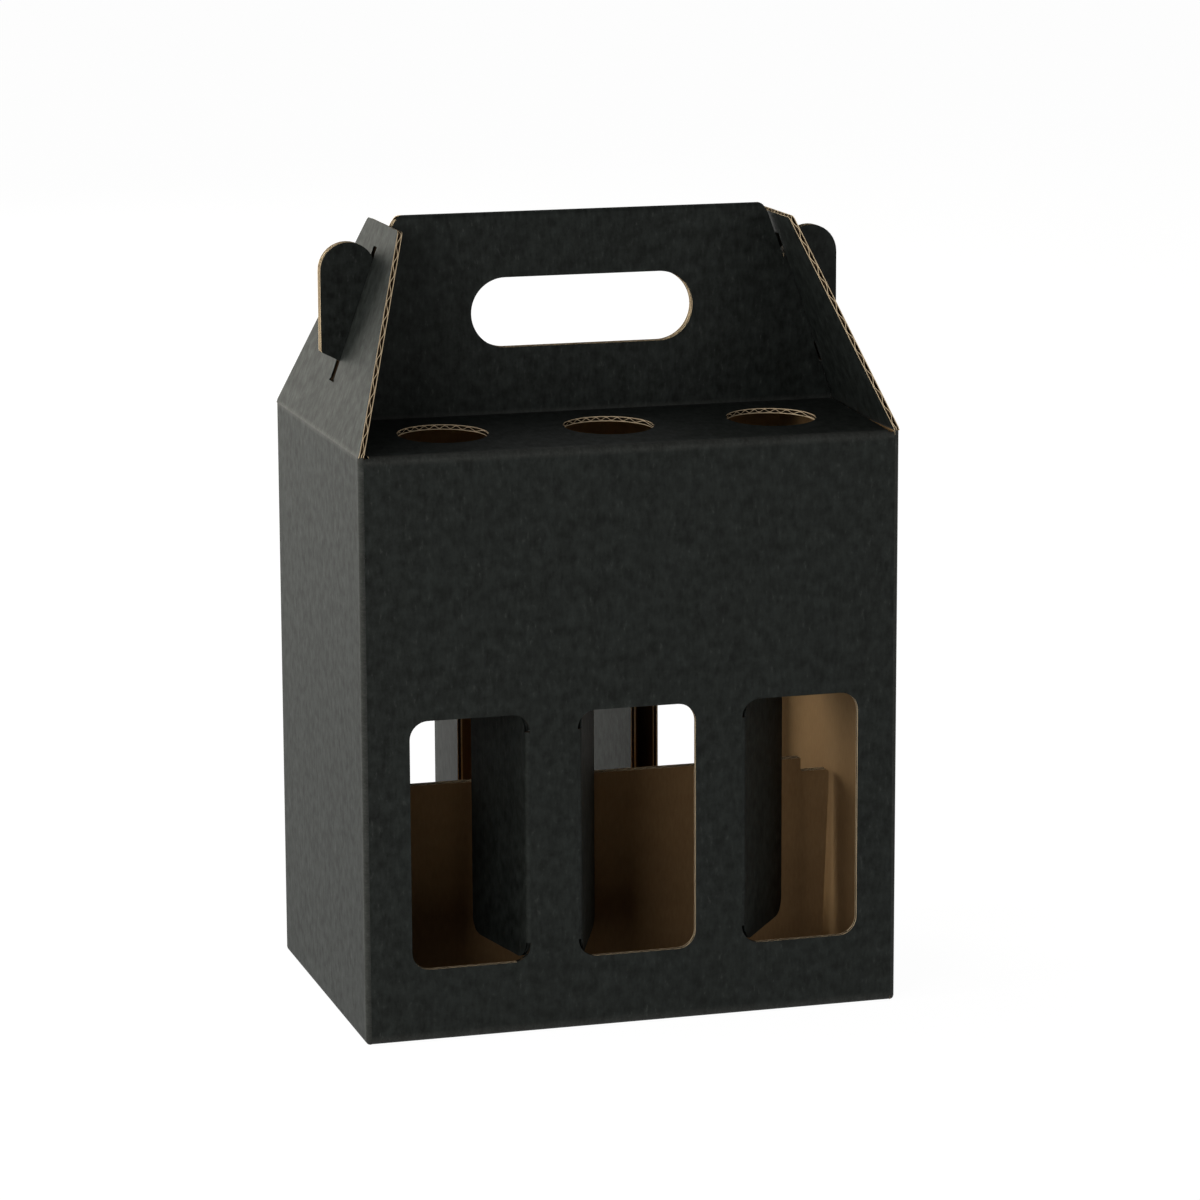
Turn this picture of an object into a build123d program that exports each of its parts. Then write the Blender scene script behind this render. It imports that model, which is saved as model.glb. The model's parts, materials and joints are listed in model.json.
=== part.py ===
from build123d import *
import math
import os

# Outside of the box and its board, all sizes in millimetres
width = 195.0
depth = 130.0
wall_height = 207.3
board = 1.8
fold_radius = 1.0
corner_radius = 1.8

# Top panels, which rise a little towards the handle
top_rise = 2.6
corner_notch_depth = 1.0
neck_hole_radius = 16.0
neck_hole_set_back = 34.0

# Handle leaves, hand hole and the ears that lock the gables
handle_rise = 74.5
leaf_gap = 0.3
leaf_slant = 20.0
handle_corner_radius = 5.0
hand_hole_length = 82.0
hand_hole_height = 25.0
hand_hole_drop = 35.7
ear_inset = 2.0
ear_radius = 10.0
ear_drop = 8.6
ear_length = 28.4
ear_slant = 4.4

# Gable flaps
gable_tilt = 19.4
gable_top_drop = 2.8
gable_foot_inset = 0.3
gable_top_half = 22.3
gable_corner_radius = 2.5
gable_seat_gap = 0.3
crease_gap = 0.25
slot_width = 5.0
slot_low_room = 7.2
slot_end_gap = 0.5
slot_relief_width = 6.6
slot_relief_height = 0.8

# Windows in the long walls and the flaps folded in from them, cut a little right of the middle
pattern_shift = 0.9
window_post = 17.2
window_low = 25.7
window_high = 114.4
window_end_margin = 15.8
window_radius = 6.5
cut_gap = 0.3
front_left_fold = 79.0
front_middle_fold = 68.0
front_right_fold = 54.0
back_left_fold = 87.0
back_middle_fold = 95.0
back_right_fold = 99.0

# Centre web folded up from the floor
web_top = 76.0
web_top_gap = 12.9
web_shoulder = 71.0
web_shoulder_gap = 1.8
web_foot_gap = 4.4

# Glued flaps inside
floor_flap_length = 38.0
floor_flap_gap = 2.0
floor_flap_inset = 1.2
floor_flap_taper = 10.0
seam_flap_width = 22.0
seam_flap_low = 6.0
seam_flap_top_gap = 7.0
seam_flap_taper = 6.0

# Lines worked out from the sizes above
half_width = width / 2
half_depth = depth / 2
inner_half_width = half_width - board
inner_half_depth = half_depth - board
leaf_middle = (leaf_gap + board) / 2
web_outer = leaf_gap / 2 + board
tilt = math.radians(gable_tilt)
slant = math.radians(leaf_slant)
top_slope = math.atan2(top_rise, half_depth - board)
window_width = (width - 2 * window_end_margin - 2 * window_post) / 3
window_pitch = window_width + window_post
neck_hole_pitch = window_pitch
neck_hole_offset = half_depth - neck_hole_set_back
handle_top = wall_height + handle_rise
hand_hole_centre = handle_top - hand_hole_drop
gable_foot_half = half_depth - gable_foot_inset
gable_length = (handle_top - gable_top_drop - wall_height) / math.cos(tilt)
ear_reach = half_width - ear_inset
ear_centre_height = handle_top - ear_drop - ear_radius
ear_low_outer = ear_centre_height - ear_length
ear_low_inner = ear_low_outer - ear_slant
web_top_half = inner_half_width - web_top_gap
web_shoulder_half = inner_half_width - web_shoulder_gap
web_foot_half = inner_half_width - web_foot_gap
floor_flap_inner = web_outer + floor_flap_gap
floor_flap_outer = inner_half_depth - floor_flap_inset
seam_flap_high = wall_height - seam_flap_top_gap


def rounded_face(points, radii):
    # Closed outline with a radius at each corner
    count = len(points)
    starts = []
    ends = []
    middles = []
    for i in range(count):
        x, y = points[i]
        px, py = points[i - 1]
        nx, ny = points[(i + 1) % count]
        ax, ay = px - x, py - y
        bx, by = nx - x, ny - y
        la, lb = math.hypot(ax, ay), math.hypot(bx, by)
        ax, ay, bx, by = ax / la, ay / la, bx / lb, by / lb
        angle = math.acos(max(-1.0, min(1.0, ax * bx + ay * by)))
        if radii[i] <= 0 or angle > math.pi - 1e-6:
            starts.append((x, y))
            ends.append((x, y))
            middles.append(None)
            continue
        run = radii[i] / math.tan(angle / 2)
        mx, my = ax + bx, ay + by
        lm = math.hypot(mx, my)
        reach = radii[i] / math.sin(angle / 2) - radii[i]
        starts.append((x + ax * run, y + ay * run))
        ends.append((x + bx * run, y + by * run))
        middles.append((x + mx / lm * reach, y + my / lm * reach))
    edges = []
    for i in range(count):
        if middles[i] is not None:
            edges.append(ThreePointArc(starts[i], middles[i], ends[i]))
        a, b = ends[i], starts[(i + 1) % count]
        if math.dist(a, b) > 1e-6:
            edges.append(Line(a, b))
    return make_face(edges)


def sheet_face(points, radius, thickness):
    # Section of a folded sheet from the line along its middle
    half = thickness / 2
    left, right = [], []
    last = len(points) - 1
    for i, (x, y) in enumerate(points):
        normals = []
        for a, b in ((i - 1, i), (i, i + 1)):
            if a >= 0 and b <= last:
                dx, dy = points[b][0] - points[a][0], points[b][1] - points[a][1]
                length = math.hypot(dx, dy)
                normals.append((-dy / length, dx / length))
        (ax, ay), (bx, by) = normals[0], normals[-1]
        scale = half / (1 + ax * bx + ay * by)
        ox, oy = (ax + bx) * scale, (ay + by) * scale
        turn = ax * by - ay * bx
        end = len(normals) == 1
        left.append(((x + ox, y + oy), 0 if end else radius - half if turn > 0 else radius + half))
        right.append(((x - ox, y - oy), 0 if end else radius + half if turn > 0 else radius - half))
    loop = left + right[::-1]
    return rounded_face([p for p, r in loop], [r for p, r in loop])


def upright(face, y, thickness):
    # Plate standing in the XZ plane, from y towards the back
    return Pos(0, y + thickness, 0) * extrude(Plane.XZ * face, amount=thickness)


def both_sides(shape):
    return shape + mirror(shape, about=Plane.YZ)


# Sloping edge of the handle leaves, seated under the gables
seat = board + gable_seat_gap
seat_x = half_width - seat * math.cos(tilt)
seat_z = wall_height - seat * math.sin(tilt)


def leaf_edge(z):
    # Half width of the leaf where it lies under the gable
    return seat_x - (z - seat_z) * math.tan(slant)


# Front half of the strip: foot of the leaf, top, front wall, floor and half of the web
side_line = half_depth - board / 2
half_strip = [
    (-leaf_middle, wall_height + 20),
    (-leaf_middle, wall_height - board / 2 + top_rise),
    (-side_line, wall_height - board / 2),
    (-side_line, board / 2),
    (-leaf_middle, board / 2),
    (-leaf_middle, web_top),
]
strip = sheet_face(half_strip, fold_radius, board)
wrap = extrude(Plane.YZ * strip, amount=inner_half_width, both=True)
wrap = wrap + mirror(wrap, about=Plane.XZ)

# Top panels are narrower than the walls, and the stubs of the leaves are cut off
top_low = wall_height - corner_notch_depth
leaf_foot = wall_height + top_rise + fold_radius + 1
top_half_width = leaf_edge(leaf_foot)
trim_width = 2 * half_width
for side in (-1, 1):
    trim = Pos(side * (top_half_width + trim_width / 2), 0, top_low + 25) * Box(trim_width, depth + 10, 50)
    wrap = wrap - trim
wrap = wrap - Pos(0, 0, leaf_foot + 25) * Box(width, 20, 50)

# Ends of the centre web
web_end = rounded_face(
    [
        (web_foot_half, board),
        (inner_half_width + 1, board),
        (inner_half_width + 1, web_top + 5),
        (web_top_half, web_top + 5),
        (web_top_half, web_shoulder),
        (web_shoulder_half, web_shoulder),
    ],
    [0, 0, 0, 0, 1.0, 1.5],
)
web_cut = upright(web_end, -web_outer - 1, 2 * web_outer + 2)
wrap = wrap - both_sides(web_cut)

# Outline of a handle leaf with its ears
leaf = rounded_face(
    [
        (-leaf_edge(leaf_foot), leaf_foot),
        (leaf_edge(leaf_foot), leaf_foot),
        (leaf_edge(handle_top), handle_top),
        (-leaf_edge(handle_top), handle_top),
    ],
    [0, 0, handle_corner_radius, handle_corner_radius],
)
ear_root = leaf_edge(ear_centre_height) - 4
ear = rounded_face(
    [
        (ear_root, ear_low_inner + 2),
        (leaf_edge(ear_low_inner), ear_low_inner),
        (ear_reach, ear_low_outer),
        (ear_reach, ear_centre_height + ear_radius),
        (ear_reach - 2 * ear_radius, ear_centre_height + ear_radius),
        (ear_reach - 2 * ear_radius, ear_centre_height - 4),
        (ear_root, ear_centre_height - 4),
    ],
    [0, 0, 1.2, ear_radius, ear_radius - 0.001, 0, 0],
)
leaf = leaf + ear + mirror(ear, about=Plane.YZ)
hand_hole = Pos(0, hand_hole_centre) * SlotOverall(hand_hole_length, hand_hole_height)
leaf = leaf - hand_hole

# Both leaves in one piece, folded over along the top of the handle
handle_line = [
    (-leaf_middle, leaf_foot),
    (-leaf_middle, handle_top - board / 2),
    (leaf_middle, handle_top - board / 2),
    (leaf_middle, leaf_foot),
]
handle_section = sheet_face(handle_line, leaf_middle, board)
leaves = extrude(Plane.YZ * handle_section, amount=half_width, both=True)
leaves = leaves & upright(leaf, -web_outer - 1, 2 * web_outer + 2)

# Side walls, with the upright creases rounded at the outside
side_top = wall_height - crease_gap
side_plan = rounded_face(
    [
        (-half_width, -half_depth),
        (-inner_half_width, -half_depth),
        (-inner_half_width, half_depth),
        (-half_width, half_depth),
    ],
    [corner_radius, 0, 0, corner_radius],
)
side_front = rounded_face(
    [(-half_width, 0), (-inner_half_width, 0), (-inner_half_width, side_top), (-half_width, side_top)],
    [corner_radius - 0.3, 0, 0, 0],
)
side_wall = extrude(side_plan, amount=wall_height) & upright(side_front, -half_depth, depth)

# Bottom flaps of the side walls, glued on the floor in front of and behind the web
flap_end = inner_half_width - floor_flap_length
floor_flap = rounded_face(
    [
        (inner_half_width, floor_flap_inner),
        (inner_half_width, floor_flap_outer),
        (flap_end, floor_flap_outer - floor_flap_taper),
        (flap_end, floor_flap_inner),
    ],
    [0, 0, 3.0, 3.0],
)
floor_flap = extrude(Pos(0, 0, board) * floor_flap, amount=board)
floor_flap = floor_flap + mirror(floor_flap, about=Plane.XZ)

# Seam flap of the blank, glued inside the left wall at the back corner
seam_face = rounded_face(
    [
        (inner_half_depth, seam_flap_low),
        (inner_half_depth, seam_flap_high),
        (inner_half_depth - seam_flap_width, seam_flap_high - seam_flap_taper),
        (inner_half_depth - seam_flap_width, seam_flap_low + seam_flap_taper),
    ],
    [0, 0, 0, 0],
)
seam_flap = Pos(-inner_half_width, 0, 0) * extrude(Plane.YZ * seam_face, amount=board)

# Windows and neck holes
window_height = window_high - window_low
window_centre = (window_low + window_high) / 2
window = Pos(0, window_centre) * RectangleRounded(window_width, window_height, window_radius)
wall_cut = upright(window, -half_depth - 1, board + 2)
wall_cut = wall_cut + mirror(wall_cut, about=Plane.XZ)
hole_z = wall_height + top_rise * (half_depth - neck_hole_offset) / half_depth
neck_cut = Pos(0, -neck_hole_offset, hole_z) * Rot(math.degrees(top_slope), 0, 0) * Cylinder(neck_hole_radius, 10)
neck_cut = neck_cut + mirror(neck_cut, about=Plane.XZ)

carton = wrap + leaves + side_wall + mirror(side_wall, about=Plane.YZ)
carton = carton + both_sides(floor_flap) + seam_flap
for place in (-1, 0, 1):
    carton = carton - Pos(place * window_pitch + pattern_shift, 0, 0) * wall_cut
    carton = carton - Pos(place * neck_hole_pitch + pattern_shift, 0, 0) * neck_cut

# Left gable flap, drawn upright and then tilted in about its crease
gable_face = rounded_face(
    [
        (-gable_foot_half, wall_height - board),
        (gable_foot_half, wall_height - board),
        (gable_foot_half, wall_height + 1.5),
        (gable_top_half, wall_height + gable_length),
        (-gable_top_half, wall_height + gable_length),
        (-gable_foot_half, wall_height + 1.5),
    ],
    [0, 0, 1.0, gable_corner_radius, gable_corner_radius, 1.0],
)
ear_swing = math.hypot(half_width - ear_reach + ear_radius, ear_centre_height - wall_height) + ear_radius
slot_end = ear_swing + slot_end_gap
slot_start = math.hypot(half_width - leaf_edge(ear_low_inner), ear_low_inner - wall_height) - slot_low_room
slot_length = slot_end - slot_start
slot = Pos(0, wall_height + slot_start + slot_length / 2) * Rectangle(slot_width, slot_length)
relief = Pos(0, wall_height + slot_start) * Rectangle(slot_relief_width, slot_relief_height)
gable_face = gable_face - slot - relief
gable_left = Pos(-half_width, 0, 0) * extrude(Plane.YZ * gable_face, amount=board)
crease = Axis((-half_width, 0, wall_height), (0, 1, 0))
gable_left = gable_left.rotate(crease, gable_tilt)
gable_left = gable_left - Pos(-half_width, 0, wall_height - 10) * Box(40, depth + 10, 20)
gable_right = mirror(gable_left, about=Plane.YZ)


def window_flap(centre, hinge_side, fold):
    # Front flap cut from its window and folded in about the inner edge of the crease
    face = RectangleRounded(window_width - 2 * cut_gap, window_height - 2 * cut_gap, window_radius - cut_gap)
    plate = upright(Pos(centre, window_centre) * face, -half_depth, board)
    hinge = Axis((centre + hinge_side * window_width / 2, -inner_half_depth, 0), (0, 0, -hinge_side))
    return plate.rotate(hinge, fold)


half_turn = Rot(0, 0, 180)
nodes = {
    "carton": carton,
    "gable_flap_left": gable_left,
    "gable_flap_right": gable_right,
    "window_flap_front_left": window_flap(pattern_shift - window_pitch, 1, front_left_fold),
    "window_flap_front_middle": window_flap(pattern_shift, -1, front_middle_fold),
    "window_flap_front_right": window_flap(pattern_shift + window_pitch, -1, front_right_fold),
    "window_flap_back_left": half_turn * window_flap(window_pitch - pattern_shift, -1, back_left_fold),
    "window_flap_back_middle": half_turn * window_flap(-pattern_shift, -1, back_middle_fold),
    "window_flap_back_right": half_turn * window_flap(-window_pitch - pattern_shift, 1, back_right_fold),
}

os.makedirs("parts", exist_ok=True)
for name, shape in nodes.items():
    export_step(shape, os.path.join("parts", name + ".step"))
    print(name, round(shape.volume), len(shape.solids()), len(shape.faces()))
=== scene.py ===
import json
import math

import bmesh
import bpy
from mathutils import Matrix, Vector


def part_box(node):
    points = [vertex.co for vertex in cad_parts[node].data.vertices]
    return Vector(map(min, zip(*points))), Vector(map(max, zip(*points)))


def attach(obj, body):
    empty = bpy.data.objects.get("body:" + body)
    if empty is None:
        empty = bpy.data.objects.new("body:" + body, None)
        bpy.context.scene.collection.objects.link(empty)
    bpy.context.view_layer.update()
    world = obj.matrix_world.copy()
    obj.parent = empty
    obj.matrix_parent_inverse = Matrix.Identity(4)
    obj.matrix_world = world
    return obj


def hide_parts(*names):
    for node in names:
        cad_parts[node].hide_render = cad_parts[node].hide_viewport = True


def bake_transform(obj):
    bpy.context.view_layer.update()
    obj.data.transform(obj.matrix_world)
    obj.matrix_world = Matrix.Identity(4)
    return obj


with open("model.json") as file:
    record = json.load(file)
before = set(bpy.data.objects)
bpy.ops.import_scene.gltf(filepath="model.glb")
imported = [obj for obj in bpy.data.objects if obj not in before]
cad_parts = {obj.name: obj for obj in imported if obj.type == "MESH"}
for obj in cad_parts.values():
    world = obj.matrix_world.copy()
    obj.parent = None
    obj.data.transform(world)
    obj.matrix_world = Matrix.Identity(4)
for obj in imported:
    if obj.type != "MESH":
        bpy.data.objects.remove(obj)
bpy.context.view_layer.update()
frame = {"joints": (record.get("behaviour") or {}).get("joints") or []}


# The wrap.
# One strip of fine-flute board, die-cut flat and folded: handle leaf, top panel, wall, floor and half
# of the web, glued to the back's half. The back is its mirror, from the fold along the handle's top.

low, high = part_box("carton")
width = 1000 * (high[0] - low[0])
depth = 1000 * (high[1] - low[1])
handle_top = 1000 * high[2]
half_width = width / 2
wall_height = 207.3
top_rise = 2.6
web_top = 76.0
board = 1.8
liner = 0.26
middle = 0.24
flute_pitch = 3.7
fold_radius = 1.0
crease_shoulder = 1.6
fold_rub_highlight = 0.45
leaf_middle = 1.05
inner_half_width = half_width - board
side_line = depth / 2 - board / 2
strip = [
    (0.0, handle_top - board / 2),
    (-leaf_middle, handle_top - board / 2),
    (-leaf_middle, wall_height - board / 2 + top_rise),
    (-side_line, wall_height - board / 2),
    (-side_line, board / 2),
    (-leaf_middle, board / 2),
    (-leaf_middle, web_top),
]


def fold_runs(corners, radius):
    """Runs and bends of a folded strip's middle line: start length, length, start, heading, turn."""
    points = [Vector(c) for c in corners]
    runs = []
    length = 0.0
    here = points[0]
    for i in range(1, len(points)):
        ahead = points[i] - points[i - 1]
        heading = math.atan2(ahead.y, ahead.x)
        turn = 0.0
        if i + 1 < len(points):
            after = points[i + 1] - points[i]
            turn = (math.atan2(after.y, after.x) - heading + math.pi) % (2 * math.pi) - math.pi
        stop = points[i] - ahead.normalized() * radius * math.tan(abs(turn) / 2)
        runs.append((length, (stop - here).length, here, heading, 0.0))
        length += (stop - here).length
        if turn:
            runs.append((length, radius * abs(turn), stop, heading, turn))
            length += radius * abs(turn)
            here = points[i] + after.normalized() * radius * math.tan(abs(turn) / 2)
    return runs


def folded(runs, radius, length, out):
    """Place of a point at a length along the folded strip and a depth out from its middle."""
    run = [r for r in runs if r[0] <= length + 1e-6][-1] if length > 0 else runs[0]
    start, extent, here, heading, turn = run
    if turn == 0:
        place = here + Vector((math.cos(heading), math.sin(heading))) * (length - start)
    else:
        side = math.copysign(1.0, turn)
        centre = here + Vector((-math.sin(heading), math.cos(heading))) * side * radius
        heading += side * (length - start) / radius
        place = centre - Vector((-math.sin(heading), math.cos(heading))) * side * radius
    return place + Vector((math.sin(heading), -math.cos(heading))) * out


def bend_lines(runs, steps=5):
    """Lengths where the board is scored: through each bend, and a little way on each side."""
    lines = []
    for start, extent, here, heading, turn in runs:
        if turn:
            lines += [start + extent * i / steps for i in range(steps + 1)]
            lines += [start - crease_shoulder, start + extent + crease_shoulder]
    return lines


def crease_at(runs, length):
    """How much wear and painted highlight the board gets: a little on a bend, falling to 0 beside it."""
    on_bend = any(s - 0.01 <= length <= s + e + 0.01 for s, e, here, heading, turn in runs if turn)
    return fold_rub_highlight if on_bend else 0.0


def along(run, point):
    """Length along the strip of a place on one of its flat panels."""
    start, extent, here, heading, turn = run
    return start + (Vector(point) - here).dot(Vector((math.cos(heading), math.sin(heading))))


wrap_runs = fold_runs(strip, fold_radius)
ridge_run, leaf_run, top_run, front_run, floor_run, web_run = [r for r in wrap_runs if r[4] == 0]

# Sloping edge of the handle leaf, and the ear that locks the gable
gable_tilt = math.radians(19.4)
leaf_slant = math.radians(20.0)
gable_seat_gap = 0.3
gable_seat = board + gable_seat_gap
handle_corner = 5.0
ear_inset = 2.0
ear_reach = half_width - ear_inset
ear_radius = 10.0
ear_drop = 8.6
ear_top = handle_top - ear_drop
ear_length = 28.4
ear_slant = 4.4
ear_low = ear_top - ear_radius - ear_length
ear_root = ear_low - ear_slant
ear_inner = ear_reach - 2 * ear_radius
ear_low_corner = 1.2
leaf_foot = wall_height + top_rise + fold_radius + 1


def leaf_edge(z):
    """Half width of the handle leaf where it lies under the gable."""
    seat_x = half_width - gable_seat * math.cos(gable_tilt)
    seat_z = wall_height - gable_seat * math.sin(gable_tilt)
    return seat_x - (z - seat_z) * math.tan(leaf_slant)


def down_leaf(z):
    """Length along the strip of a height on the handle leaf, from the fold at its top."""
    return max(0.0, along(leaf_run, (0, z)))


def rounded(corners, steps=9):
    """Outline from corners (x, y, radius), with each radius drawn as an arc."""
    loop = []
    for i, (x, y, radius) in enumerate(corners):
        here = Vector((x, y))
        back = (Vector(corners[i - 1][:2]) - here).normalized()
        ahead = (Vector(corners[(i + 1) % len(corners)][:2]) - here).normalized()
        half_angle = back.angle(ahead) / 2
        if radius == 0:
            loop.append((x, y))
            continue
        centre = here + (back + ahead).normalized() * radius / math.sin(half_angle)
        first = here + back * radius / math.tan(half_angle) - centre
        last = here + ahead * radius / math.tan(half_angle) - centre
        turn = first.angle_signed(last)
        for step in range(steps + 1):
            spoke = first.copy()
            spoke.rotate(Matrix.Rotation(-turn * step / steps, 2))
            loop.append(tuple(centre + spoke))
    return loop


def box_corners(x, y, across, along_y, radius):
    """Corners of an upright box round a place, for rounded()."""
    signs = ((-1, -1), (1, -1), (1, 1), (-1, 1))
    return [(x + sx * across / 2, y + sy * along_y / 2, radius) for sx, sy in signs]


# Right edge of the flat strip, from the handle's top fold down to the top of the web
ear_notch = handle_top - (ear_inner - leaf_edge(handle_top)) / math.tan(leaf_slant)
corner_notch = 1.0
notch_low = along(front_run, (0, wall_height - corner_notch))
web_foot_gap = 4.4
web_shoulder = 71.0
web_shoulder_gap = 1.8
web_top_gap = 12.9
right_edge = [
    (leaf_edge(handle_top), 0, handle_corner),
    (ear_inner, down_leaf(ear_notch), 0),
    (ear_inner, down_leaf(ear_top), ear_radius - 0.01),
    (ear_reach, down_leaf(ear_top), ear_radius - 0.01),
    (ear_reach, down_leaf(ear_low), ear_low_corner),
    (leaf_edge(ear_root), down_leaf(ear_root), 0.6),
    (leaf_edge(leaf_foot), down_leaf(leaf_foot), 0),
    (leaf_edge(leaf_foot), notch_low, 0),
    (inner_half_width, notch_low, 0),
    (inner_half_width, along(web_run, (0, board)), 0),
    (inner_half_width - web_foot_gap, along(web_run, (0, board)), 0.6),
    (inner_half_width - web_shoulder_gap, along(web_run, (0, web_shoulder)), 1.5),
    (inner_half_width - web_top_gap, along(web_run, (0, web_shoulder)), 0.8),
    (inner_half_width - web_top_gap, wrap_runs[-1][0] + wrap_runs[-1][1], 0),
]
outline = rounded(right_edge + [(-x, y, r) for x, y, r in reversed(right_edge)])

# Hand hole, neck holes and windows, cut a little right of the middle
pattern_shift = 0.9
hand_hole_length = 82.0
hand_hole_height = 25.0
hand_hole_drop = 35.7
neck_radius = 16.0
neck_offset = 31.0
neck_rise = 0.4
neck_line = along(top_run, (-neck_offset, wall_height + neck_rise))
window_low = 25.7
window_high = 114.4
window_width = 43.0
window_height = window_high - window_low
window_centre = (window_low + window_high) / 2
window_pitch = 60.2
window_radius = 6.5
window_line = along(front_run, (0, window_centre))
hand_line = down_leaf(handle_top - hand_hole_drop)
hand_hole = box_corners(0, hand_line, hand_hole_length, hand_hole_height, hand_hole_height / 2 - 0.01)
holes = [rounded(hand_hole, 16)]
for column in (-1, 0, 1):
    x = column * window_pitch + pattern_shift
    neck_hole = box_corners(x, neck_line, 2 * neck_radius, 2 * neck_radius, neck_radius - 0.01)
    holes.append(rounded(neck_hole, 14))
    holes.append(rounded(box_corners(x, window_line, window_width, window_height, window_radius)))


def thicken(bm, step):
    """Draws all faces out by a step into a closed sheet."""
    grown = bmesh.ops.extrude_face_region(bm, geom=bm.faces[:])["geom"]
    moved = [v for v in grown if isinstance(v, bmesh.types.BMVert)]
    bmesh.ops.translate(bm, vec=step, verts=moved)
    bmesh.ops.recalc_face_normals(bm, faces=bm.faces[:])


def slab(loops, under, over):
    """Flat sheet cut to an outline, with holes, between two depths of the board."""
    bm = bmesh.new()
    edges = []
    for loop in loops:
        verts = [bm.verts.new((x, y, under)) for x, y in loop]
        edges += [bm.edges.new((verts[i - 1], verts[i])) for i in range(len(verts))]
    bmesh.ops.triangle_fill(bm, use_beauty=True, use_dissolve=False, edges=edges, normal=(0, 0, 1))
    thicken(bm, (0, 0, over - under))
    return bm


def fluted_sheet(x0, x1, y0, y1, per_flute=8):
    """Wavy middle of the board, its flutes running along y."""
    swing = board / 2 - liner - middle / 2
    bm = bmesh.new()
    count = math.ceil((x1 - x0) / flute_pitch * per_flute)
    last = None
    for i in range(count + 1):
        x = x0 + (x1 - x0) * i / count
        z = swing * math.sin(2 * math.pi * x / flute_pitch)
        pair = [bm.verts.new((x, y0, z - middle / 2)), bm.verts.new((x, y0, z + middle / 2))]
        if last:
            bm.faces.new((last[0], last[1], pair[1], pair[0]))
        last = pair
    thicken(bm, (0, y1 - y0, 0))
    return bm


def as_object(bm, name):
    mesh = bpy.data.meshes.new(name)
    bm.to_mesh(mesh)
    bm.free()
    made = bpy.data.objects.new(name, mesh)
    bpy.context.scene.collection.objects.link(made)
    return made


black_side, brown_side, raw_edge, shaded_hollow = 0, 1, 2, 3


def corrugated(loops):
    """Flat die-cut board: outer liner, flutes and inner liner, trimmed to one outline."""
    xs = [x for x, y in loops[0]]
    ys = [y for x, y in loops[0]]
    waves = as_object(fluted_sheet(min(xs) - 1, max(xs) + 1, min(ys) - 1, max(ys) + 1), "waves")
    die = as_object(slab(loops, -board, board), "die")
    cutter = waves.modifiers.new("die_cut", "BOOLEAN")
    cutter.operation = "INTERSECT"
    cutter.solver = "EXACT"
    cutter.object = die
    trimmed = bpy.data.meshes.new_from_object(waves.evaluated_get(bpy.context.evaluated_depsgraph_get()))
    for spent in (waves, die):
        bpy.data.objects.remove(spent)
    bm = slab(loops, board / 2 - liner, board / 2)
    inside = slab(loops, -board / 2, liner - board / 2)
    sheet = bpy.data.meshes.new("inside")
    inside.to_mesh(sheet)
    inside.free()
    for layer in (trimmed, sheet):
        bm.from_mesh(layer)
        bpy.data.meshes.remove(layer)
    bm.normal_update()
    for face in bm.faces:
        level = face.calc_center_median().z
        if abs(face.normal.z) < 0.3:
            face.material_index = raw_edge
        # Faces inside the board get the flute channels' painted shade.
        elif abs(level) < board / 2 - 0.01:
            face.material_index = shaded_hollow
        else:
            face.material_index = black_side if level > 0 else brown_side
    return bm


def blacken_edges(bm, x, y, reach_x, reach_y):
    """Blackens the raw edges within reach of a place: print running round a real fold, and painted shade on
    cut edges in shadow.
    """
    for face in bm.faces:
        away = face.calc_center_median() - Vector((x, y, 0))
        near = abs(away.x) < reach_x and abs(away.y) < reach_y
        if near and face.material_index in (raw_edge, shaded_hollow):
            face.material_index = black_side


def score(bm, places, axis):
    """Adds lines across the flat board where it has to bend."""
    for place in places:
        point = [0, 0, 0]
        point[axis] = place
        normal = [0, 0, 0]
        normal[axis] = 1
        everything = bm.verts[:] + bm.edges[:] + bm.faces[:]
        bmesh.ops.bisect_plane(bm, geom=everything, dist=1e-5, plane_co=point, plane_no=normal)


# Kraft paper of the liners and flutes, with the outer liner printed a matte black
ink = (0.0012, 0.0018, 0.0015, 1)
ink_thin = (0.0144, 0.0171, 0.0158, 1)
ink_fibre = (0.0330, 0.0350, 0.0325, 1)
ink_pit = (0.0006, 0.0008, 0.0007, 1)
# Pale grey mixed into the ink on creases: wear of the print, and a painted highlight of the fold.
rub_highlight_colour = (0.0750, 0.0740, 0.0680, 1)
kraft = (0.250, 0.155, 0.073, 1)
kraft_dark = (0.188, 0.111, 0.050, 1)
kraft_cut = (0.800, 0.640, 0.430, 1)
kraft_bare = (0.480, 0.350, 0.210, 1)
# Dark kraft inside the board, in its flute channels: painted shade.
kraft_hollow_shade = (0.030, 0.019, 0.010, 1)
kraft_shaded = (0.060, 0.037, 0.019, 1)


class Shade:
    """A shader socket that can be written in sums, and that adds nodes to its tree."""

    def __init__(self, tree, socket):
        self.tree = tree
        self.socket = socket

    def node(self, kind, settings=None, inputs=None, out=0):
        made = self.tree.nodes.new("ShaderNode" + kind)
        for key, value in (settings or {}).items():
            if key == "stops":
                for place, (position, grey) in enumerate(value):
                    elements = made.color_ramp.elements
                    stop = elements[place] if place < 2 else elements.new(position)
                    stop.position = position
                    stop.color = (grey, grey, grey, 1)
            else:
                setattr(made, key, value)
        for key, value in (inputs or {}).items():
            if isinstance(value, Shade):
                self.tree.links.new(value.socket, made.inputs[key])
            else:
                made.inputs[key].default_value = value
        return Shade(self.tree, made.outputs[out])

    def math(self, operation, first, second):
        return self.node("Math", {"operation": operation}, {0: first, 1: second})

    def __add__(self, other):
        return self.math("ADD", self, other)

    def __sub__(self, other):
        return self.math("SUBTRACT", self, other)

    def __rsub__(self, other):
        return self.math("SUBTRACT", other, self)

    def __mul__(self, other):
        return self.math("MULTIPLY", self, other)

    __radd__ = __add__
    __rmul__ = __mul__


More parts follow.
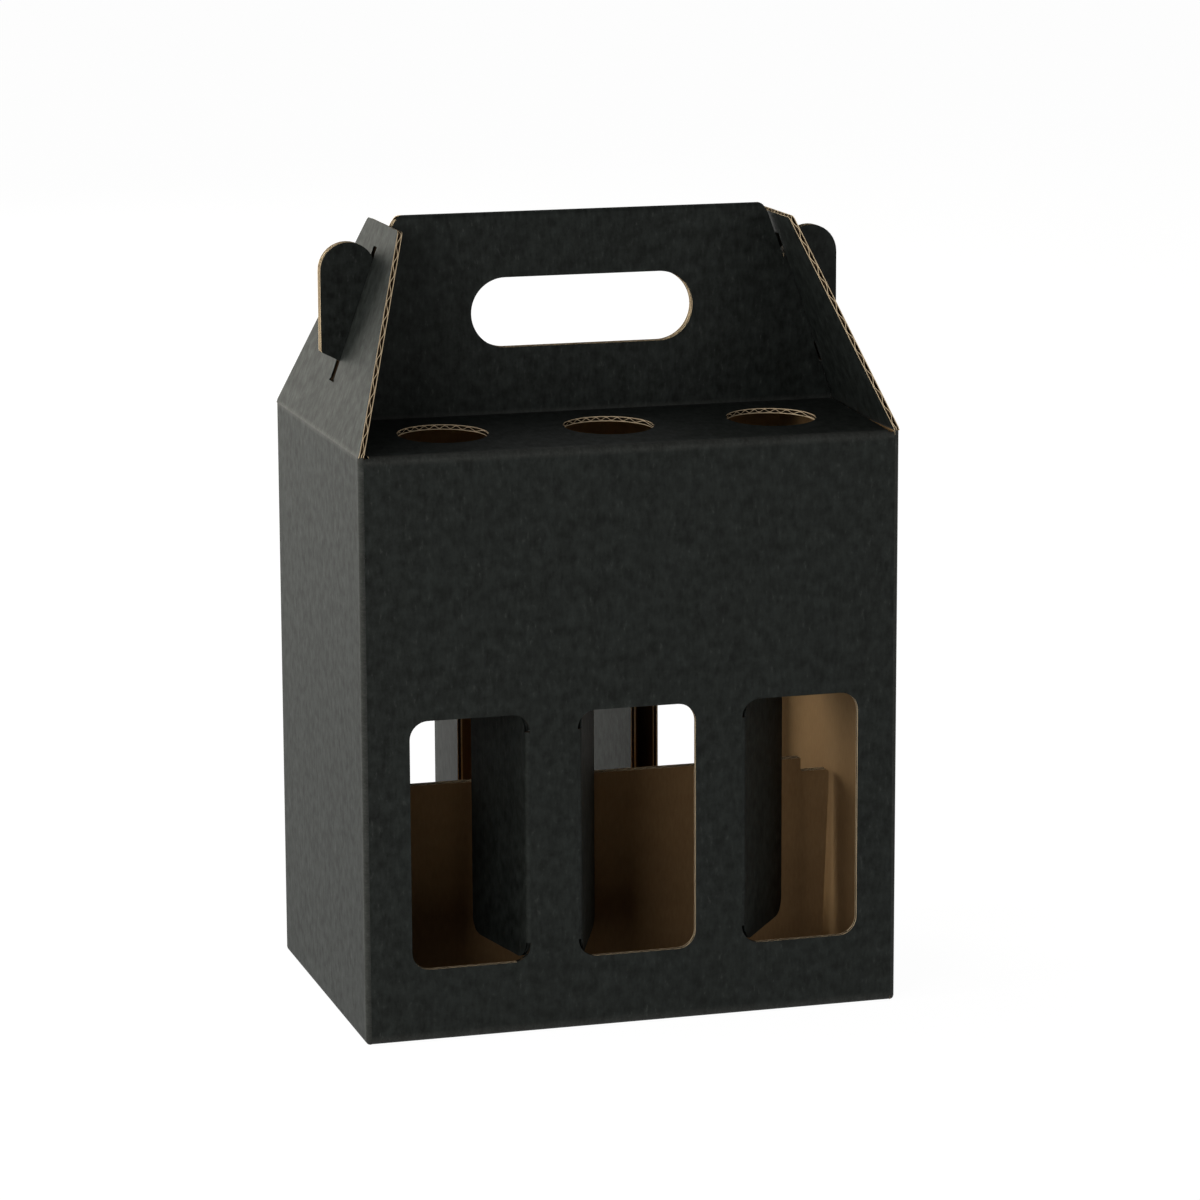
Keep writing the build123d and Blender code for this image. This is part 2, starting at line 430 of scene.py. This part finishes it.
def paper(name, gloss):
    """New material, with its flat sheet coordinates in millimetres and its shader."""
    material = bpy.data.materials.new(name)
    material.use_nodes = True
    tree = material.node_tree
    shader = tree.nodes["Principled BSDF"]
    shader.inputs["Specular IOR Level"].default_value = gloss
    flat = Shade(tree, tree.nodes.new("ShaderNodeAttribute").outputs["Vector"])
    flat.socket.node.attribute_name = "flat"
    return material, flat, shader


def noise(place, scale, detail, roughness=0.5):
    return place.node(
        "TexNoise", None, {"Vector": place, "Scale": scale, "Detail": detail, "Roughness": roughness})


def stretched(flat, lengthways):
    """Sheet coordinates drawn out along the paper's grain."""
    return flat.node("Mapping", {"vector_type": "POINT"}, {"Vector": flat, "Scale": (1.0, lengthways, 1.0)})


def ramp(value, start, end):
    """Goes from 0 to 1 as a value goes from start to end, in either direction."""
    stops = [(start, 0.0), (end, 1.0)] if start < end else [(end, 1.0), (start, 0.0)]
    return value.node("ValToRGB", {"stops": stops}, {0: value})


def mixed(factor, first, second):
    return factor.node("Mix", {"data_type": "RGBA"}, {0: factor, 6: first, 7: second}, 2)


def feed(shader, **values):
    for key, value in values.items():
        socket = shader.inputs[key.replace("_", " ")]
        if isinstance(value, Shade):
            value.tree.links.new(value.socket, socket)
        else:
            socket.default_value = value


def washboard(flat):
    """Faint waves that the flutes leave in a liner, with fine paper tooth."""
    across = flat.node("SeparateXYZ", None, {0: flat})
    wave = across.math("SINE", across * (2 * math.pi / flute_pitch), 0.0)
    height = wave * 0.12 + noise(flat, 1.8, 5.0) * 0.9
    return height.node("Bump", None, {"Strength": 0.35, "Distance": 0.00006, "Height": height})


black_print, flat, shader = paper("black_print", 0.18)
shader.inputs["Specular Tint"].default_value = (0.97, 1.0, 0.93, 1)
cloud = noise(flat, 0.24, 4.0, 0.6)
fleck = noise(stretched(flat, 0.35), 0.8, 3.0, 0.6)
coverage = ramp(cloud * 0.6 + fleck * 0.4, 0.36, 0.66)
light_fibre = ramp(fleck, 0.64, 0.74)
dark_fibre = ramp(fleck, 0.36, 0.27)
# Creases mix towards pale grey: partly wear of the cracked print, partly a painted highlight.
crease = flat.node("Attribute", {"attribute_name": "crease"}, None, 2)
rub_highlight_mix = (0.30 + ramp(noise(flat, 1.1, 4.0, 0.7), 0.45, 0.70) * 0.5) * crease
printed = mixed(light_fibre * 0.6, mixed(coverage, ink, ink_thin), ink_fibre)
colour = mixed(rub_highlight_mix, mixed(dark_fibre * 0.6, printed, ink_pit), rub_highlight_colour)
feed(shader, Base_Color=colour, Roughness=0.66 - coverage * 0.06, Normal=washboard(flat))

brown_kraft, flat, shader = paper("brown_kraft", 0.06)
strand = noise(stretched(flat, 0.22), 1.1, 6.0, 0.65)
tone = ramp(strand * 0.6 + noise(flat, 0.05, 3.0) * 0.4, 0.30, 0.70)
feed(shader, Base_Color=mixed(tone, kraft_dark, kraft), Roughness=0.86, Normal=washboard(flat))

cut_edge, flat, shader = paper("cut_edge", 0.2)
feed(shader, Base_Color=mixed(noise(flat, 2.2, 4.0), kraft_bare, kraft_cut), Roughness=0.9)

# Dark kraft for the flute channels and the window bends' ends: painted shade.
painted_flute_shade, flat, shader = paper("painted_flute_shade", 0.1)
feed(shader, Base_Color=mixed(noise(flat, 0.8, 3.0), kraft_hollow_shade, kraft_shaded), Roughness=0.9)


to_metres = 0.001


def raised(bm, name, place, rub):
    """Board moved from the flat sheet to its place in metres, keeping its flat coordinates."""
    flat_layer = bm.verts.layers.float_vector.new("flat")
    crease_layer = bm.verts.layers.float.new("crease")
    for vert in bm.verts:
        vert[flat_layer] = vert.co
        vert[crease_layer] = rub(*vert.co)
        vert.co = Vector(place(*vert.co)) * to_metres
    bmesh.ops.recalc_face_normals(bm, faces=bm.faces[:])
    made = as_object(bm, name)
    for material in (black_print, brown_kraft, cut_edge, painted_flute_shade):
        made.data.materials.append(material)
    return made


def unrubbed(x, y, out):
    return 0.0


fold_corner_reach = 0.8 * window_radius
fold_end_reach = window_height / 2 + 0.5
ear_notch_reach = 3.0
for row, name, fold_sides in ((1, "wrap_front", (1, -1, -1)), (-1, "wrap_back", (1, 1, -1))):
    bm = corrugated([outline] + holes)
    # Cut edges at each window's hinge-side corners and each ear notch are blackened: real print where the
    # fold runs, painted shade on the cut corners and notches.
    for column, fold_side in zip((-1, 0, 1), fold_sides):
        fold_x = column * window_pitch + pattern_shift + fold_side * window_width / 2
        blacken_edges(bm, fold_x, window_line, fold_corner_reach, fold_end_reach)
    for side in (-1, 1):
        blacken_edges(bm, side * ear_inner, down_leaf(ear_top), ear_notch_reach, ear_radius)
    score(bm, bend_lines(wrap_runs), 1)

    def wrapped(x, y, out):
        place = folded(wrap_runs, fold_radius, y, out)
        return x, row * place.x, place.y

    wrap = raised(bm, name, wrapped, lambda x, y, out: crease_at(wrap_runs[2:], y))
    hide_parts("carton")
    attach(wrap, "carton")


# The side walls.
# The same sheet turned round the upright creases, with its flutes upright.
# The top edge is the crease of the gable flap, and the foot is rounded where it folds under.

corner_radius = board / 2
foot_radius = 1.5
rub_highlight_band = 0.1
side_strip = [
    (-inner_half_width, side_line),
    (-half_width + board / 2, side_line),
    (-half_width + board / 2, -side_line),
    (-inner_half_width, -side_line),
]
side_runs = fold_runs(side_strip, corner_radius)
side_length = side_runs[-1][0] + side_runs[-1][1]
side_outline = [(0, 0), (side_length, 0), (side_length, wall_height), (0, wall_height)]
foot_lines = [foot_radius * (1 - math.cos(math.radians(angle))) for angle in (20, 40, 60, 90)]
for side, name in ((1, "side_wall_left"), (-1, "side_wall_right")):
    bm = corrugated([side_outline])
    for face in bm.faces:
        if face.normal.y > 0.9:
            face.material_index = black_side
    score(bm, bend_lines(side_runs), 0)
    score(bm, foot_lines + [wall_height - crease_shoulder], 1)

    def stood(x, y, out):
        if out > 0 and y < foot_radius:
            out -= foot_radius - math.sqrt(max(0.0, foot_radius ** 2 - (foot_radius - y) ** 2))
        place = folded(side_runs, corner_radius, x, out)
        return side * place.x, place.y, y

    # The wall's top crease band gets wear and a painted highlight.
    def wall_rub_highlight(x, y, out):
        return max(crease_at(side_runs, x), float(y > wall_height - rub_highlight_band))

    wall = raised(bm, name, stood, wall_rub_highlight)
    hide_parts("carton")
    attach(wall, "carton")


# The glued flaps inside.
# Each side wall ends in two bottom flaps glued to the floor, clear of the web,
# and the blank closes on a seam flap glued inside the left wall at the back corner.

bottom_flap_length = 38.0
bottom_flap_taper = 10.0
bottom_flap_corner = 3.0
flap_end = inner_half_width - bottom_flap_length
flap_inner = 3.95
flap_outer = 62.0
inner_half_depth = depth / 2 - board
bottom_flap = rounded([
    (flap_inner, inner_half_width, 0),
    (flap_outer, inner_half_width, 0),
    (flap_outer - bottom_flap_taper, flap_end, bottom_flap_corner),
    (flap_inner, flap_end, bottom_flap_corner),
])
for side, end in ((-1, "left"), (1, "right")):
    for row, place in ((-1, "front"), (1, "back")):
        flap = raised(
            corrugated([bottom_flap]),
            "bottom_flap_" + place + "_" + end,
            lambda x, y, out: (side * y, row * x, 1.5 * board - out),
            unrubbed,
        )
        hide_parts("carton")
        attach(flap, "carton")

seam_low = 6.0
seam_top_gap = 7.0
seam_high = wall_height - seam_top_gap
seam_width = 22.0
seam_taper = 6.0
seam_outline = [
    (inner_half_depth, seam_low),
    (inner_half_depth, seam_high),
    (inner_half_depth - seam_width, seam_high - seam_taper),
    (inner_half_depth - seam_width, seam_low + seam_taper),
]
seam = raised(
    corrugated([seam_outline]),
    "seam_flap",
    lambda x, y, out: (board / 2 - inner_half_width - out, x, y),
    unrubbed,
)
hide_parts("carton")
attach(seam, "carton")


# The gable flaps.
# Sloping end flaps on the side walls' top creases, printed black on both sides. Each leans on the
# sloping edge of the handle leaves, and a slot up its middle lets the ears through and locks on them.

gable_top_drop = 2.8
gable_top = (handle_top - gable_top_drop - wall_height) / math.cos(gable_tilt)
gable_foot_inset = 0.3
gable_foot_half = depth / 2 - gable_foot_inset
gable_foot_step = 1.5
gable_foot_corner = 1.0
gable_top_half = 22.3
gable_top_corner = 2.5
slot_half = 2.5
slot_relief_half = 3.3
slot_relief_rise = 0.4
slot_end_gap = 0.5
slot_low_room = 7.2
ear_swing = math.hypot(half_width - ear_reach + ear_radius, ear_top - ear_radius - wall_height) + ear_radius
slot_end = ear_swing + slot_end_gap
slot_start = math.hypot(half_width - leaf_edge(ear_root), ear_root - wall_height) - slot_low_room
gable_outline = rounded([
    (-gable_foot_half, 0, 0),
    (gable_foot_half, 0, 0),
    (gable_foot_half, gable_foot_step, gable_foot_corner),
    (gable_top_half, gable_top, gable_top_corner),
    (-gable_top_half, gable_top, gable_top_corner),
    (-gable_foot_half, gable_foot_step, gable_foot_corner),
])
slot_hole = [
    (-slot_half, slot_end),
    (-slot_half, slot_start + slot_relief_rise),
    (-slot_relief_half, slot_start + slot_relief_rise),
    (-slot_relief_half, slot_start - slot_relief_rise),
    (slot_relief_half, slot_start - slot_relief_rise),
    (slot_relief_half, slot_start + slot_relief_rise),
    (slot_half, slot_start + slot_relief_rise),
    (slot_half, slot_end),
]
for side, name in ((-1, "gable_flap_left"), (1, "gable_flap_right")):
    bm = corrugated([gable_outline, slot_hole])
    for face in bm.faces:
        spot = face.calc_center_median()
        inside_print = face.normal.z < -0.9 and spot.z < 0.01 - board / 2
        # Cut edges in the slot are blackened as painted shade.
        slot_shade = abs(spot.x) < slot_relief_half + 0.1 and slot_start - 1 < spot.y < slot_end + 1
        at_foot = face.normal.y < -0.9 and spot.y < 0.01
        if inside_print or at_foot or (slot_shade and face.material_index == raw_edge):
            face.material_index = black_side
    score(bm, [crease_shoulder], 1)

    def leaned(x, y, out):
        depth_in = board / 2 - out
        rise = max(y, depth_in * math.tan(gable_tilt))
        inward = rise * math.sin(gable_tilt) + depth_in * math.cos(gable_tilt)
        up = rise * math.cos(gable_tilt) - depth_in * math.sin(gable_tilt)
        return side * (half_width - inward), x, wall_height + up

    # The foot crease band gets wear and a painted highlight.
    gable = raised(bm, name + "_board", leaned, lambda x, y, out: float(y < rub_highlight_band))
    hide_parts(name)
    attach(gable, name)


# The window flaps.
# Each window is cut on three sides and folded in on the fourth, as a divider between bottles.
# The outer liner runs round the fold, so the bend is black outside; the bend is built once at the flap's
# fold angle.

flap_gap = 0.3
crease_gap = 0.04
bend_inner = 0.1
bend_half = window_height / 2 - window_radius
joints = {joint["child"]: joint for joint in frame["joints"]}
for name, column, back in (
    ("window_flap_front_left", -1, False),
    ("window_flap_front_middle", 0, False),
    ("window_flap_front_right", 1, False),
    ("window_flap_back_left", 1, True),
    ("window_flap_back_middle", 0, True),
    ("window_flap_back_right", -1, True),
):
    fold = -joints[name]["range_deg"][0]
    hinge_side = 1 if column < 0 else -1
    centre = column * window_pitch + (-pattern_shift if back else pattern_shift)
    hinge = Vector((centre + hinge_side * window_width / 2, -inner_half_depth, 0))
    fold_turn = math.radians(-hinge_side * fold)
    turn = Matrix.Rotation(fold_turn, 3, "Z")
    spun = Matrix.Rotation(math.pi if back else 0.0, 3, "Z")

    def swung(x, y, out):
        shut = Vector((centre + x, -side_line - out, window_centre + y))
        return spun @ (hinge + turn @ (shut - hinge))

    flap_outline = rounded(box_corners(
        hinge_side * (flap_gap - crease_gap) / 2, 0,
        window_width - flap_gap - crease_gap, window_height - 2 * flap_gap, window_radius - flap_gap))
    bm = corrugated([flap_outline])
    # Black on the hinge edge where the print runs round the fold, and painted shade on its rounded corners.
    blacken_edges(bm, hinge_side * window_width / 2, 0, fold_corner_reach, window_height)
    flap = raised(bm, name + "_board", swung, unrubbed)
    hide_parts(name)
    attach(flap, name)

    bm = bmesh.new()
    section = ((bend_inner, -bend_half), (board, -bend_half), (board, bend_half), (bend_inner, bend_half))
    bm.faces.new([bm.verts.new(hinge + Vector((0, -r, window_centre + z))) for r, z in section])
    everything = bm.verts[:] + bm.edges[:] + bm.faces[:]
    bmesh.ops.spin(bm, geom=everything, cent=hinge, axis=(0, 0, 1), angle=fold_turn, steps=8)
    bmesh.ops.remove_doubles(bm, verts=bm.verts[:], dist=1e-4)
    # The bend's outer rim is black print; its ends are dark kraft as painted shade.
    for face in bm.faces:
        rim = all((v.co.xy - hinge.xy).length > board - 0.01 for v in face.verts)
        face.material_index = black_side if rim else shaded_hollow
    bend = raised(bm, name + "_crease", lambda x, y, z: spun @ Vector((x, y, z)), unrubbed)
    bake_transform(bend)


# The studio.
# A pale floor under a white surround, which the board's sheen mirrors more behind the box than in
# front of it, with soft lamps behind on the left, at the left and on both sides in front.

floor_half = 6.0
floor_drop = 0.0004
bm = bmesh.new()
bmesh.ops.create_grid(bm, x_segments=1, y_segments=1, size=floor_half)
bmesh.ops.translate(bm, vec=(0, 0, -floor_drop), verts=bm.verts[:])
floor = as_object(bm, "floor")
pale = bpy.data.materials.new("pale_floor")
pale.use_nodes = True
tree = pale.node_tree
shader = tree.nodes["Principled BSDF"]
shader.inputs["Base Color"].default_value = (0.86, 0.86, 0.86, 1)
shader.inputs["Roughness"].default_value = 0.9
shader.inputs["Specular IOR Level"].default_value = 0.1
rays = tree.nodes.new("ShaderNodeLightPath")
seen = Shade(tree, rays.outputs["Is Camera Ray"])
mirrored = Shade(tree, rays.outputs["Is Glossy Ray"])
white = seen.node("Emission", None, {"Color": (1, 1, 1, 1), "Strength": 1.08})
lit = seen * 0.9 + mirrored * 0.85
both = seen.node("MixShader", None, {0: lit, 1: Shade(tree, shader.outputs[0]), 2: white})
tree.links.new(both.socket, tree.nodes["Material Output"].inputs["Surface"])
floor.data.materials.append(pale)

scene = bpy.context.scene
scene.view_settings.view_transform = "Standard"
world = bpy.data.worlds.new("surround")
scene.world = world
world.use_nodes = True
tree = world.node_tree
rays = tree.nodes.new("ShaderNodeLightPath")
seen = Shade(tree, rays.outputs["Is Camera Ray"])
mirrored = Shade(tree, rays.outputs["Is Glossy Ray"])
heading = Shade(tree, tree.nodes.new("ShaderNodeTexCoord").outputs["Generated"])
backward = heading.node("SeparateXYZ", None, {0: heading}, 1)
behind = backward.node("MapRange", None, {0: backward, 1: -0.35, 2: 0.25, 3: 0.35, 4: 1.0})
strength = 0.10 + seen * 0.92 + mirrored * behind * 0.32
tree.links.new(strength.socket, tree.nodes["Background"].inputs["Strength"])
tree.nodes["Background"].inputs["Color"].default_value = (1, 1, 1, 1)


def lamp(name, place, size, power, colour=(1, 1, 1), mirrored=True):
    """Soft rectangular lamp turned towards the middle of the box."""
    light = bpy.data.lights.new(name, "AREA")
    light.shape = "RECTANGLE"
    light.size, light.size_y = size
    light.energy = power
    light.color = colour
    made = bpy.data.objects.new(name, light)
    made.location = place
    made.visible_glossy = mirrored
    made.rotation_euler = (Vector((0, 0, 0.12)) - Vector(place)).to_track_quat("-Z", "Y").to_euler()
    scene.collection.objects.link(made)


warm = (1.0, 0.98, 0.88)
lamp("back_left", (-0.95, 2.0, 0.45), (1.8, 1.2), 20.0, warm)
lamp("back_fill", (-1.1, 1.9, 0.5), (1.2, 0.8), 36.0, warm, False)
lamp("left", (-2.0, 0.0, 0.8), (1.4, 1.4), 30.0, (1.0, 0.99, 0.93))
lamp("front_left", (-1.35, -1.45, 0.6), (0.9, 0.9), 16.0)
lamp("front_right", (1.5, -1.8, 0.4), (1.0, 1.0), 9.0)

photo_pixels = 1200
focal_pixels = 4562.0
azimuth = math.radians(16.256)
elevation = math.radians(11.378)
roll = math.radians(-0.236)
distance = 1.6496
aim = Vector((0.0066, 0.0, 0.1396))
level = math.cos(elevation)
back = Vector((-math.sin(azimuth) * level, -math.cos(azimuth) * level, math.sin(elevation)))
right = (-back).cross(Vector((0, 0, 1))).normalized()
up = right.cross(-back)
lens = bpy.data.cameras.new("camera")
lens.sensor_width = 36.0
lens.lens = lens.sensor_width * focal_pixels / photo_pixels
camera = bpy.data.objects.new("camera", lens)
turned = Matrix((
    math.cos(roll) * right + math.sin(roll) * up,
    math.cos(roll) * up - math.sin(roll) * right,
    back,
)).transposed()
camera.matrix_world = Matrix.Translation(aim + back * distance) @ turned.to_4x4()
scene.collection.objects.link(camera)
scene.camera = camera
